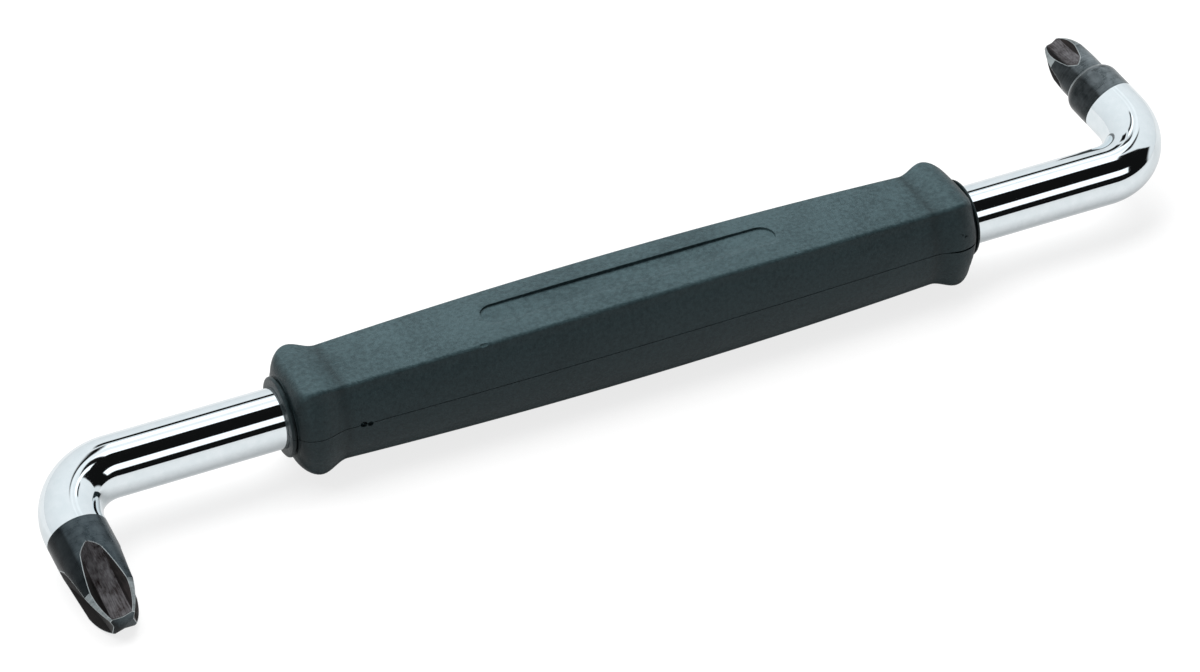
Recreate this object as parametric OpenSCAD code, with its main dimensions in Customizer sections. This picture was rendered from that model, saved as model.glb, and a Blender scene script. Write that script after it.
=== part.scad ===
// Offset screwdriver: a round steel bar with a bent arm at each end, turned opposite ways, in a moulded
// handle of two halves. One arm ends in a PH4 cross point, the other in a PH3 cross point.
// X runs along the handle towards the PH3 arm, Z is up through the label face, and the origin is the middle
// of the handle on the axis of the bar. All sizes are in millimetres.

/* [Handle] */
// Length of the handle between its two rounded ends, without the collars
handle_l = 120.4; // [100:0.1:140]
// Width at the seam, in the middle of the handle
grip_w = 16.8; // [15.6:0.1:20]
// Height of the upper half above the seam, in the middle
upper_h = 8.3; // [7.6:0.1:11]
// Height of the lower half below the seam, in the middle
lower_h = 8.1; // [7.6:0.1:11]
// How far each side leans in from the seam to its far edge
side_lean = 1.35; // [0.8:0.05:1.6]
// How far the top and bottom faces fall from the middle to their long edges
face_crown = 0.12; // [0.05:0.01:0.3]
// Radius of the four long edges
edge_r = 1; // [0.6:0.1:1.8]
// How much each side draws in from the middle to the waists
waist_in = 0.8; // [0.3:0.05:1]
// How much each side swells from a waist to the crest of its end bulge
bulge_h = 0.95; // [0.4:0.05:1.4]
// Distance from a waist to the nearer end of the handle
waist_to_end = 8; // [7:0.1:11]
// Distance from the crest of a bulge to the nearer end of the handle
crest_to_end = 3.6; // [2.4:0.1:4.4]
// How much each side falls from the crest to the end face
nose_drop = 2.5; // [2.3:0.1:2.8]
// Radius of the long edges where they reach the end faces
nose_edge_r = 2.8; // [2.4:0.1:3.4]

/* [Collars] */
// Diameter of the round collar at each end of the handle
collar_d = 13.2; // [12.6:0.1:13.8]
// How far the collars stand out of the ends
collar_l = 0.9; // [0.6:0.1:3.5]
// Rounding of the outer edge of a collar
collar_edge = 0.35; // [0.1:0.05:0.5]

/* [Label recess] */
// Length of the bare recess in the top face
recess_l = 52; // [40:1:64]
// Width of the recess
recess_w = 5; // [3.5:0.1:6.5]
// Depth of the recess in the middle of the handle
recess_depth = 0.6; // [0.3:0.05:0.9]

/* [Bar] */
// Diameter of the steel bar
bar_d = 10; // [9.6:0.05:10.4]
// From the middle of the handle to the axis of the PH4 arm
ph4_reach = 98.6; // [90:0.1:115]
// From the middle of the handle to the axis of the PH3 arm
ph3_reach = 99.6; // [90:0.1:115]
// Radius of both bends, on the axis of the bar
bend_r = 9.3; // [8:0.1:12]
// Angle through which the bar is bent at the PH4 end
ph4_bend = 93.3; // [85:0.1:102]
// Angle through which the bar is bent at the PH3 end
ph3_bend = 100.5; // [85:0.1:102]
// How far the plane of the two arms is turned about the bar, from level with the seam
arm_turn = 15.7; // [0:0.1:25]
// How much thinner the ground arms are than the bar
arm_under = 0.02; // [0.01:0.01:0.1]
// Plated straight stretch after the PH4 bend
ph4_plated_l = 0.8; // [0.5:0.1:4]
// Plated straight stretch after the PH3 bend
ph3_plated_l = 2.8; // [0.5:0.1:6]

/* [Wings inside the handle] */
// Width over the two wings pressed out of the bar
wing_span = 13.0; // [11.8:0.1:13.4]
// Length of the wings along the bar
wing_l = 14; // [8:0.5:20]
// Thickness of the wings
wing_t = 2.4; // [1.6:0.1:3.2]

/* [PH4 point] */
// Length of the bare steel, from the plating to the end face
ph4_l = 17.5; // [15.5:0.1:22]
// Diameter of the end face
ph4_end_d = 5.2; // [4.8:0.1:5.6]
// Length of the flutes, from the end face back
ph4_flute_l = 12.9; // [11.5:0.1:14]
// Distance from the axis to the bottom of a flute at the end face
ph4_root = 1.65; // [1.6:0.05:2]
// Width of the bottom of a flute
ph4_floor_w = 3.4; // [2.9:0.05:3.5]
// Lean of the bottom of a flute away from the axis
ph4_lean = 3; // [2:0.25:5]
// Flat angle of the shallow V across the bottom of a flute
ph4_floor_angle = 153; // [145:1:170]
// Turn of the flutes about the arm of the larger point
ph4_turn = 7; // [0:1:44]

/* [PH3 point] */
// Length of the bare collar, at the diameter of the bar
ph3_collar_l = 4.1; // [3:0.1:8]
// Length over which the collar rounds in towards the blade
ph3_shoulder_l = 1.6; // [1.2:0.1:2.4]
// How much smaller the radius is after the rounding
ph3_shoulder_in = 0.6; // [0.4:0.05:0.7]
// Length of the chamfer between the collar and the blade
ph3_chamfer_l = 0.5; // [0.3:0.05:1]
// Diameter of the blade
ph3_blade_d = 8; // [7.6:0.05:8.4]
// Length of the blade, from the chamfer to the end face
ph3_blade_l = 9.5; // [9:0.1:14]
// Diameter of the end face
ph3_end_d = 3.8; // [3.5:0.1:4.2]
// Length of the flutes, from the end face back
ph3_flute_l = 7.9; // [7.2:0.1:8.6]
// Distance from the axis to the bottom of a flute at the end face
ph3_root = 1.3; // [1.25:0.05:1.5]
// Width of the bottom of a flute
ph3_floor_w = 2.7; // [2.3:0.05:2.8]
// Lean of the bottom of a flute away from the axis
ph3_lean = 3; // [2:0.25:5]
// Flat angle of the shallow V across the bottom of a flute
ph3_floor_angle = 146; // [140:1:165]
// Turn of the flutes about the arm, from square to the plane of the arms
ph3_turn = 22; // [0:1:44]

/* [Both points] */
// Half angle of the cone at the points
cone_angle = 26.5; // [24:0.5:29]
// How far the sides of the cone bow out
cone_bow = 0.4; // [0.1:0.05:0.5]

/* [Handle joint] */
// Diameter of the locating pins of the upper half
pin_d = 1.4; // [1:0.1:1.5]
// Height of the locating pins below the seam
pin_l = 2.2; // [1.5:0.1:3]
// Distance of the locating pins from the middle of the handle, along it
pin_x = 36; // [24:1:42]
// Gap left between the two halves
seam_gap = 0.1; // [0.05:0.01:0.25]
// Radial clearance between the bar and the handle
bar_clearance = 0.05; // [0.02:0.01:0.1]
// Clearance around the wings
wing_clearance = 0.1; // [0.05:0.01:0.2]
// Radial clearance between a locating pin and its socket
pin_clearance = 0.08; // [0.03:0.01:0.12]

/* [Hidden] */

plastic_colour = [0.2, 0.23, 0.25];
chrome_colour = [0.82, 0.84, 0.86];
bare_steel_colour = [0.3, 0.31, 0.31];

// How far a cut runs past the face that it opens
overrun = 1;
bar_r = bar_d / 2;
// The straight arms are ground a hair under the bar, and each starts a little inside its bend
arm_r = bar_r - arm_under / 2;
arm_root_l = sqrt(bend_r * arm_under) / 2;
bore_r = bar_r + bar_clearance;
handle_half = handle_l / 2;
waist_x = handle_half - waist_to_end;
crest_x = handle_half - crest_to_end;
pin_y = (bore_r + grip_w / 2 - waist_in / 2) / 2;

// Steps of the handle's surface: along the grip, the swell and the nose, and around a side, an edge and a face
grip_steps = 16;
swell_steps = 7;
nose_steps = 8;
side_steps = 4;
edge_steps = 6;
face_steps = 6;
// Straight passes that make up a flute
flute_passes = 4;
// How far each pass runs into the next
pass_overlap = 0.02;
// Steps along the bowed side of a cone
cone_steps = 4;

function ease(t) = t * t * (3 - 2 * t);

// Share of the way from the crest of a bulge to the end face
function nose_share(x) = max(0, abs(x) - crest_x) / crest_to_end;

// How far the handle's surface stands out, at x, from what it is in the middle
function swell(x) =
    let (a = abs(x))
    a <= waist_x ? -waist_in * pow(a / waist_x, 2) :
    a <= crest_x ? -waist_in + bulge_h * ease((a - waist_x) / (crest_x - waist_x)) :
    bulge_h - waist_in - nose_drop * (1 - sqrt(max(0, 1 - pow(nose_share(x), 2))));

// Places along X where the handle's section is taken, from the left end to the right end
right_places = concat(
    [for (i = [1:grip_steps / 2]) waist_x * i / (grip_steps / 2)],
    [for (i = [1:swell_steps]) waist_x + (crest_x - waist_x) * i / swell_steps],
    [for (i = [1:nose_steps]) crest_x + crest_to_end * sin(90 * i / nose_steps)]
);
places = concat([for (i = [len(right_places) - 1:-1:0]) -right_places[i]], [0], right_places);

// Half of the handle's section at x, from the seam on the +Y side over the top to the seam on the -Y side
function section(x, h_mid) =
    let (
        h = h_mid + swell(x),
        w = grip_w / 2 + swell(x),
        r = edge_r + (nose_edge_r - edge_r) * pow(nose_share(x), 2),
        seam_z = seam_gap / 2,
        arc_y = w - side_lean - r,
        arc_z = h - face_crown - r,
        side = [for (k = [0:side_steps - 1]) let (t = k / side_steps)
            [w - side_lean * t * t, seam_z + (arc_z - seam_z) * t]],
        edge = [for (k = [0:edge_steps - 1]) let (a = 90 * k / edge_steps)
            [arc_y + r * cos(a), arc_z + r * sin(a)]],
        face = [for (k = [0:face_steps / 2 - 1]) let (t = 1 - 2 * k / face_steps)
            [arc_y * t, h - face_crown * t * t]],
        quarter = concat(side, edge, face)
    )
    concat(
        [for (p = quarter) [x, p[0], p[1]]],
        [[x, 0, h]],
        [for (i = [len(quarter) - 1:-1:0]) [x, -quarter[i][0], quarter[i][1]]]
    );

// Solid between the seam and the outer surface of a half with the given height
module half_body(h_mid) {
    rings = [for (x = places) section(x, h_mid)];
    n = len(rings[0]);
    last = len(rings) - 1;
    skin = [for (i = [0:last - 1]) for (j = [0:n - 1]) let (k = (j + 1) % n)
        each [[i * n + j, (i + 1) * n + j, (i + 1) * n + k], [i * n + j, (i + 1) * n + k, i * n + k]]];
    left_end = [for (j = [0:n - 1]) j];
    right_end = [for (j = [n - 1:-1:0]) last * n + j];
    polyhedron(points = [for (ring = rings) each ring], faces = concat(skin, [left_end, right_end]), convexity = 4);
}

// Half ring above the seam that closes the handle around the bar at the end given by side
module half_collar(side) {
    start = crest_x;
    finish = handle_half + collar_l;
    r = collar_d / 2;
    translate([0, 0, seam_gap / 2])
        rotate([0, side * 90, 0])
            rotate([0, 0, side > 0 ? 90 : -90])
                rotate_extrude(angle = 180, $fn = 96)
                    polygon([
                        [0, start], [r, start], [r, finish - collar_edge],
                        for (a = [15:15:75])
                            [r - collar_edge * (1 - cos(a)), finish - collar_edge * (1 - sin(a))],
                        [r - collar_edge, finish], [0, finish]
                    ]);
}

// Room for the bar and its wings
module bar_room() {
    rotate([0, 90, 0])
        cylinder(r = bore_r, h = handle_l + 2 * collar_l + 2 * overrun, center = true, $fn = 96);
    cube([
        wing_l + 2 * wing_clearance,
        wing_span + 2 * wing_clearance,
        wing_t + 2 * wing_clearance
    ], center = true);
}

// One half of the handle, above the seam
module half_shell(h_mid) {
    difference() {
        union() {
            half_body(h_mid);
            half_collar(1);
            half_collar(-1);
        }
        bar_room();
    }
}

// What is given, at the place of each locating pin
module at_pins() {
    for (x = [-pin_x, pin_x])
        for (y = [-pin_y, pin_y])
            translate([x, y, 0])
                children();
}

// Straight slot with round ends, from the origin upwards
module slot_cut(l, w, h) {
    linear_extrude(height = h) {
        square([l - w, w], center = true);
        for (side = [-1, 1])
            translate([side * (l - w) / 2, 0])
                circle(d = w, $fn = 64);
    }
}

module upper_shell() {
    color(plastic_colour) {
        difference() {
            half_shell(upper_h);
            translate([0, 0, upper_h - recess_depth])
                slot_cut(recess_l, recess_w, recess_depth + overrun);
        }
        at_pins()
            translate([0, 0, -pin_l])
                cylinder(d = pin_d, h = pin_l + overrun, $fn = 32);
    }
}

module lower_shell() {
    color(plastic_colour)
        difference() {
            mirror([0, 0, 1])
                half_shell(lower_h);
            at_pins()
                translate([0, 0, -pin_l - 2 * pin_clearance])
                    cylinder(r = pin_d / 2 + pin_clearance, h = pin_l + overrun, $fn = 32);
        }
}

// Length of the bar's axis from a bend to the corner where the two straight axes would meet
function corner_l(bend) = bend_r * tan(bend / 2);

// Places what is given where an arm leaves its bend, with Z along the arm and X square to the arms' plane
module on_arm(side, reach, bend) {
    rotate([arm_turn, 0, 0])
        rotate([0, 0, side > 0 ? 0 : 180])
            translate([reach, 0, 0])
                rotate([0, 0, bend])
                    translate([corner_l(bend), 0, 0])
                        rotate([0, 90, 0])
                            children();
}

// Straight bar from the middle of the handle to one bend, the bend, and the plated start of the arm
module half_bar(side, reach, bend, plated_l) {
    bend_start = reach - corner_l(bend);
    rotate([arm_turn, 0, 0])
        rotate([0, 0, side > 0 ? 0 : 180]) {
            rotate([0, 90, 0])
                cylinder(r = bar_r, h = bend_start, $fn = 96);
            translate([bend_start, bend_r, 0])
                rotate([0, 0, -90]) {
                    rotate_extrude(angle = bend, $fn = 128)
                        translate([bend_r, 0])
                            circle(r = bar_r, $fn = 96);
                    rotate([0, 0, bend])
                        translate([bend_r, -arm_root_l, 0])
                            rotate([-90, 0, 0])
                                cylinder(r = arm_r, h = arm_root_l + plated_l, $fn = 96);
                }
        }
}

module shank() {
    color(chrome_colour) {
        half_bar(-1, ph4_reach, ph4_bend, ph4_plated_l);
        half_bar(1, ph3_reach, ph3_bend, ph3_plated_l);
        cube([wing_l, wing_span, wing_t], center = true);
    }
}

// Outline across a flute, from its bottom at the origin outwards along Y
function flute_outline(floor_w, floor_angle, depth) =
    let (w = floor_w / 2, rise = w / tan(floor_angle / 2))
    [[0, 0], [w, rise], [w + depth, rise + depth], [-w - depth, rise + depth], [-w, rise]];

// Radius of the wheel that cuts a flute: it leaves the axis at the lean angle and runs out at radius r
function wheel_r(r, root, lean, flute_l) =
    let (rise = r - root)
    (rise * rise + flute_l * flute_l) / (2 * (rise * cos(lean) - flute_l * sin(lean)));

// Place on the bottom of a flute, as its distance from the axis and its height from the end face
function flute_point(root, lean, wheel, back) =
    let (centre = [root + wheel * cos(lean), wheel * sin(lean)])
    [centre[0] - sqrt(wheel * wheel - pow(back + centre[1], 2)), -back];

// The four flutes of a cross point with its end face at z = length, in a blade of radius r. Each is ground
// in straight passes that follow the arc of the wheel.
module flutes(length, r, root, floor_w, lean, floor_angle, flute_l) {
    wheel = wheel_r(r, root, lean, flute_l);
    for (turn = [0:90:270])
        rotate([0, 0, turn])
            for (k = [0:flute_passes - 1]) {
                from = flute_point(root, lean, wheel, flute_l * k / flute_passes);
                to = flute_point(root, lean, wheel, flute_l * (k + 1) / flute_passes);
                pass_l = norm(to - from);
                past_end = k == 0 ? overrun : pass_overlap;
                past_heel = k == flute_passes - 1 ? r : pass_overlap;
                translate([from[0], 0, length + from[1]])
                    rotate([0, -atan2(to[0] - from[0], from[1] - to[1]), 0])
                        translate([0, 0, -pass_l - past_heel])
                            rotate([0, 0, -90])
                                linear_extrude(height = pass_l + past_heel + past_end)
                                    polygon(flute_outline(floor_w, floor_angle, r));
            }
}

// Places on the side of a cone, as radius and height, from where it starts at (r, z) down to radius end_r
function cone_side(r, z, end_r) =
    let (drop = r - end_r, l = drop / tan(cone_angle))
    [for (k = [0:cone_steps]) let (t = k / cone_steps, bow = cone_bow * 4 * t * (1 - t))
        [r - drop * t + bow * cos(cone_angle), z + l * t + bow * sin(cone_angle)]];

module ph4_tip() {
    cone_l = (arm_r - ph4_end_d / 2) / tan(cone_angle);
    color(bare_steel_colour)
        on_arm(-1, ph4_reach, ph4_bend)
            translate([0, 0, ph4_plated_l])
                rotate([0, 0, ph4_turn])
                    difference() {
                        rotate_extrude($fn = 96)
                            polygon([
                                [0, 0], [arm_r, 0],
                                each cone_side(arm_r, ph4_l - cone_l, ph4_end_d / 2), [0, ph4_l]
                            ]);
                        flutes(ph4_l, arm_r, ph4_root, ph4_floor_w, ph4_lean, ph4_floor_angle, ph4_flute_l);
                    }
}

module ph3_tip() {
    blade_r = ph3_blade_d / 2;
    ring_r = arm_r - ph3_shoulder_in;
    cone_l = (blade_r - ph3_end_d / 2) / tan(cone_angle);
    shoulder_r = (pow(ph3_shoulder_l, 2) + pow(ph3_shoulder_in, 2)) / (2 * ph3_shoulder_in);
    shoulder_angle = asin(ph3_shoulder_l / shoulder_r);
    ring_z = ph3_collar_l + ph3_shoulder_l;
    blade_z = ring_z + ph3_chamfer_l;
    end_z = blade_z + ph3_blade_l;
    color(bare_steel_colour)
        on_arm(1, ph3_reach, ph3_bend)
            translate([0, 0, ph3_plated_l])
                rotate([0, 0, -ph3_turn])
                    difference() {
                        rotate_extrude($fn = 96)
                            polygon([
                                [0, 0], [arm_r, 0],
                                for (k = [0:5]) let (a = shoulder_angle * k / 6)
                                    [arm_r - shoulder_r * (1 - cos(a)), ph3_collar_l + shoulder_r * sin(a)],
                                [ring_r, ring_z], [blade_r, blade_z],
                                each cone_side(blade_r, end_z - cone_l, ph3_end_d / 2), [0, end_z]
                            ]);
                        flutes(end_z, blade_r, ph3_root, ph3_floor_w, ph3_lean, ph3_floor_angle, ph3_flute_l);
                    }
}

shank();
ph4_tip();
ph3_tip();
upper_shell();
lower_shell();
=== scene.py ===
# %% [markdown]
# # An offset screwdriver
# A round steel bar is bent near both ends, once towards the viewer and once away, and each arm ends in a
# ground cross point: the larger one at the left, the smaller one at the right. A two-part plastic handle
# closes round the straight middle of the bar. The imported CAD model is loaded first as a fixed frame. X runs
# along the handle, Z is up through the face with the label recess, and the origin is the middle of the
# handle on the axis of the bar. Blender works in metres, so every size below is in millimetres times MM.

# %% Load the frame
from math import asin, atan2, cos, pi, radians, sin, sqrt, tan

import bmesh
import bpy
from mathutils import Euler, Matrix, Vector


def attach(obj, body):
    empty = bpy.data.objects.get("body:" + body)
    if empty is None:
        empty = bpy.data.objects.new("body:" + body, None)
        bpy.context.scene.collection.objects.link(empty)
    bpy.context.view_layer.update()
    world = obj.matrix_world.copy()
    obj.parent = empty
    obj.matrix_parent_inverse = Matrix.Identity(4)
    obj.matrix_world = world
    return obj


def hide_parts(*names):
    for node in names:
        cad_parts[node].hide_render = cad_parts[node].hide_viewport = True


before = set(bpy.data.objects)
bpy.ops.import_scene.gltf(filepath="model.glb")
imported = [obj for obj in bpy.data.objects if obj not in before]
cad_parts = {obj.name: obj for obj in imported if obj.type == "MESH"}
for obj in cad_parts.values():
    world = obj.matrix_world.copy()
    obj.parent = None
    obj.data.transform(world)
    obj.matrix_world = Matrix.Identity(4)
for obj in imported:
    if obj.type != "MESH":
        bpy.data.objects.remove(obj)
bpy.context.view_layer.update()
MM = 0.001
HAIR = 0.001 * MM  # too little to see, the tolerance for finding vertices by their place

# %% [markdown]
# ## Sizes
# These are the sizes of the CAD source, because every new piece has to lie where the CAD says. A handle
# that swells towards its ends is described best by one rule for how far its surface stands out at each x.

# %% Sizes of the handle and the bar
HANDLE_HALF, GRIP_HALF_W, UPPER_H, LOWER_H = 60.2 * MM, 8.4 * MM, 8.3 * MM, 8.1 * MM
SIDE_LEAN, FACE_CROWN, EDGE_R, NOSE_EDGE_R = 1.35 * MM, 0.12 * MM, 0.75 * MM, 2.8 * MM
WAIST_IN, BULGE_H, NOSE_DROP = 0.8 * MM, 0.95 * MM, 2.5 * MM
WAIST_X, CREST_X = HANDLE_HALF - 8 * MM, HANDLE_HALF - 3.6 * MM
COLLAR_R, COLLAR_END = 6.6 * MM, HANDLE_HALF + 0.9 * MM
SEAM_Z = 0.055 * MM
BAR_R, BEND_R, TURN = 5 * MM, 9.3 * MM, radians(15.7)
WING_SPAN, WING_L, WING_T, WING_EDGE = 13 * MM, 14 * MM, 2.4 * MM, 0.3 * MM
# side, reach to the arm's axis, angle of the bend, plated length after the bend
PH4_ARM = (-1, 98.6 * MM, radians(93.3), 0.8 * MM)
PH3_ARM = (1, 99.6 * MM, radians(100.5), 2.8 * MM)


def ease(t):
    return t * t * (3 - 2 * t)


def swell(x):
    """How far the handle's surface stands out at x, from what it is in the middle."""
    a = abs(x)
    if a <= WAIST_X:
        return -WAIST_IN * (a / WAIST_X) ** 2
    if a <= CREST_X:
        return -WAIST_IN + BULGE_H * ease((a - WAIST_X) / (CREST_X - WAIST_X))
    n = min(1, (a - CREST_X) / (HANDLE_HALF - CREST_X))
    return BULGE_H - WAIST_IN - NOSE_DROP * (1 - sqrt(1 - n * n))


print("half width in mm at middle, waist, crest and end:",
      [round((GRIP_HALF_W + swell(x)) / MM, 2) for x in (0, WAIST_X, CREST_X, HANDLE_HALF)])

# %% [markdown]
# ## Helpers
# Almost everything below is done by Blender's own operators. They act on what is selected, so two helpers
# deselect everything or select one piece, and two pick vertices or edges by their place.

# %% Selecting
def deselect():
    if bpy.context.object and bpy.context.object.mode != "OBJECT":
        bpy.ops.object.mode_set(mode="OBJECT")
    bpy.ops.object.select_all(action="DESELECT")


def select_only(piece):
    deselect()
    bpy.context.view_layer.objects.active = piece
    piece.select_set(True)


def added(name):
    """Names the primitive that was just added and returns it, in edit mode."""
    piece = bpy.context.object
    piece.name = piece.data.name = name
    bpy.ops.object.transform_apply(location=True, rotation=True, scale=True)
    bpy.ops.object.mode_set(mode="EDIT")
    return piece


def pick(test):
    """Selects the vertices of the mesh in edit mode whose place passes the test."""
    mesh = bmesh.from_edit_mesh(bpy.context.object.data)
    bpy.ops.mesh.select_all(action="DESELECT")
    for v in mesh.verts:
        if test(v.co):
            v.select = True
    mesh.select_flush(True)
    bmesh.update_edit_mesh(bpy.context.object.data)


def pick_edges(test):
    """The same for edges: the test gets both ends of an edge."""
    mesh = bmesh.from_edit_mesh(bpy.context.object.data)
    bpy.ops.mesh.select_all(action="DESELECT")
    bpy.ops.mesh.select_mode(type="EDGE")
    for e in mesh.edges:
        if test(e.verts[0].co, e.verts[1].co):
            e.select = True
    bmesh.update_edit_mesh(bpy.context.object.data)


def close_up():
    """Merges doubles, turns the faces outwards and leaves edit mode."""
    bpy.ops.mesh.select_all(action="SELECT")
    bpy.ops.mesh.remove_doubles(threshold=HAIR / 2)
    bpy.ops.mesh.normals_make_consistent(inside=False)
    bpy.ops.object.mode_set(mode="OBJECT")


# %% [markdown]
# Most shapes here come from cutting one closed mesh with another, as a mould or a tool would. So one helper
# applies a modifier at once, one cuts or joins with a second mesh, and the last one finishes a piece and
# prints its volume and how many open edges it has, which has to be none.

# %% Cutting and finishing
def apply_modifier(piece, kind, **settings):
    select_only(piece)
    modifier = piece.modifiers.new(kind.title(), kind)
    for key, value in settings.items():
        setattr(modifier, key, value)
    bpy.ops.object.modifier_apply(modifier=modifier.name)


def open_edges(piece):
    mesh = bmesh.new()
    mesh.from_mesh(piece.data)
    count = sum(1 for e in mesh.edges if len(e.link_faces) != 2)
    mesh.free()
    return count


def combine(piece, tool, operation):
    """Joins or cuts with a second mesh. Faces that the tool leaves keep the tool's own material."""
    apply_modifier(piece, "BOOLEAN", operation=operation, object=tool, solver="EXACT",
                   material_mode="TRANSFER")
    bpy.data.objects.remove(tool)


def finish_piece(piece, node, smooth_angle):
    """Smooth shading and the body it rides on; hides the CAD node it stands for and prints its size."""
    select_only(piece)
    bpy.ops.object.shade_smooth_by_angle(angle=smooth_angle)
    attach(piece, "root")
    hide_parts(node)
    mesh = bmesh.new()
    mesh.from_mesh(piece.data)
    print(f"{piece.name}: {len(mesh.faces)} faces, {open_edges(piece)} open edges,",
          f"{mesh.calc_volume() / MM ** 3:.0f} mm3")
    mesh.free()


# %% [markdown]
# ## The camera
# The photograph was taken from the left front and well above. A camera fitted to the bar, the bends and the
# collars gives its place and a long lens. It comes first, so that every piece can be checked from it.

# %% Camera
SENSOR, PHOTO_W, FOCAL_PX = 36.0, 1200, 4074.1
CAMERA_PLACE = Vector((-220.41, -479.28, 394.87)) * MM
# tilt up from straight down, roll and heading
CAMERA_TURN = Euler((radians(52.8823), radians(0.9909), radians(-24.9103)))

camera = bpy.data.objects.new("camera", bpy.data.cameras.new("camera"))
bpy.context.scene.collection.objects.link(camera)
camera.matrix_world = Matrix.Translation(CAMERA_PLACE) @ CAMERA_TURN.to_matrix().to_4x4()
camera.data.sensor_width = SENSOR
camera.data.lens = FOCAL_PX / PHOTO_W * SENSOR
bpy.context.scene.camera = camera
print("lens in mm:", round(camera.data.lens, 1))

# %% [markdown]
# ## One half of the handle
# Each half is a long bar of hard plastic with rounded long edges, slightly crowned faces, and a bulge at
# each end that keeps the hand from sliding off. It could be boxes with a bevel, but the bulges swell and
# round off at once. So a section is drawn once as a circle laid on the outline, extruded again and again
# along X, and each new ring is laid on the section for its place. The part below the seam is cut away at
# the end.

# %% Section of a half
SIDE_STEPS, EDGE_STEPS, FACE_STEPS = 5, 8, 4
BELOW_SEAM = 0.8 * MM


def section(x, mid_h):
    """Outline of a half at x, from its lowest point at +Y over the top to the lowest point at -Y."""
    n = max(0, abs(x) - CREST_X) / (HANDLE_HALF - CREST_X)
    h, w = mid_h + swell(x), GRIP_HALF_W + swell(x)
    r = EDGE_R + (NOSE_EDGE_R - EDGE_R) * n ** 2
    arc_y, arc_z = w - SIDE_LEAN - r, h - FACE_CROWN - r
    side = [(w - SIDE_LEAN * (k / SIDE_STEPS) ** 2, arc_z * k / SIDE_STEPS) for k in range(SIDE_STEPS)]
    edge = [(arc_y + r * cos(pi / 2 * k / EDGE_STEPS), arc_z + r * sin(pi / 2 * k / EDGE_STEPS))
            for k in range(EDGE_STEPS)]
    face = [(arc_y * t, h - FACE_CROWN * t * t) for t in (1 - k / FACE_STEPS for k in range(FACE_STEPS))]
    quarter = [(w, -BELOW_SEAM)] + side + edge + face
    return quarter + [(0, h)] + [(-y, z) for y, z in reversed(quarter)]


GRIP_RINGS, BULGE_RINGS, NOSE_RINGS = 14, 12, 12


def places():
    """Where the rings lie: wide apart along the grip, closer over the bulges and the rounded noses."""
    grip = [WAIST_X * k / GRIP_RINGS for k in range(1, GRIP_RINGS + 1)]
    bulge = [WAIST_X + (CREST_X - WAIST_X) * k / BULGE_RINGS for k in range(1, BULGE_RINGS + 1)]
    nose = [CREST_X + (HANDLE_HALF - CREST_X) * sin(pi / 2 * k / NOSE_RINGS)
            for k in range(1, NOSE_RINGS + 1)]
    right = grip + bulge + nose
    return [-x for x in reversed(right)] + [0] + right


print("points round a section:", len(section(0, UPPER_H)), "rings:", len(places()))

# %% [markdown]
# The first ring is a filled circle, which also closes that end of the handle. Its vertices are sorted by
# their angle and laid on the section one after the other. Each extruded ring is a copy of the last one, so
# it is laid in the same way, with the angle taken about the lowest line of the section.

# %% Draw the first ring, then extrude and lay the others
def around(v):
    return atan2(v.co.z + BELOW_SEAM, v.co.y)


def lay_ring(x, mid_h):
    """Moves the selected ring of vertices onto the section at x."""
    mesh = bmesh.from_edit_mesh(bpy.context.object.data)
    ring = sorted((v for v in mesh.verts if v.select), key=around)
    for v, (y, z) in zip(ring, section(x, mid_h)):
        v.co = (x, y, z)
    bmesh.update_edit_mesh(bpy.context.object.data)


def handle_body(name, mid_h):
    deselect()
    start = places()[0]
    count = len(section(0, mid_h))
    bpy.ops.mesh.primitive_circle_add(vertices=count, radius=GRIP_HALF_W, fill_type="NGON",
                                      location=(start, 0, 0), rotation=(0, pi / 2, 0))
    body = added(name)
    mesh = bmesh.from_edit_mesh(body.data)
    ring = sorted(mesh.verts, key=lambda v: (atan2(v.co.z, v.co.y) + pi / 2) % (2 * pi))
    for v, (y, z) in zip(ring, section(start, mid_h)):
        v.co = (start, y, z)
    bmesh.update_edit_mesh(body.data)
    bpy.ops.mesh.select_all(action="SELECT")
    at = start
    for x in places()[1:]:
        bpy.ops.mesh.extrude_region_move(TRANSFORM_OT_translate={"value": (x - at, 0, 0)})
        lay_ring(x, mid_h)
        at = x
    close_up()
    return body


# %% [markdown]
# Round the bar the handle ends in a thin collar, and a bore takes the bar. Both are long cylinders that run
# through the whole body: one is joined to it and its ends become the collars, the other is cut out. A
# narrow groove sets each collar off from the handle, and the two wings that stop the bar from turning get
# their room.

# %% Collars, bore and room for the wings
COLLAR_EDGE, BORE_R, WING_ROOM, ROOM_EDGE = 0.35 * MM, 5.05 * MM, 0.1 * MM, 0.2 * MM
GROOVE_W, GROOVE_R = 0.42 * MM, 5.9 * MM
CLEAR, CYLINDER_SIDES = 1 * MM, 128  # CLEAR is how far a cutter stands out of what it cuts


def along_x(name, radius, half_l):
    deselect()
    bpy.ops.mesh.primitive_cylinder_add(vertices=CYLINDER_SIDES, radius=radius, depth=2 * half_l,
                                        rotation=(0, pi / 2, 0))
    return added(name)


def rounded_block(name, size, place, edge):
    deselect()
    bpy.ops.mesh.primitive_cube_add(size=1, location=place)
    bpy.context.object.scale = size
    block = added(name)
    bpy.ops.mesh.select_all(action="SELECT")
    bpy.ops.mesh.bevel(offset=edge, segments=2, affect="EDGES")
    close_up()
    return block


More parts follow.
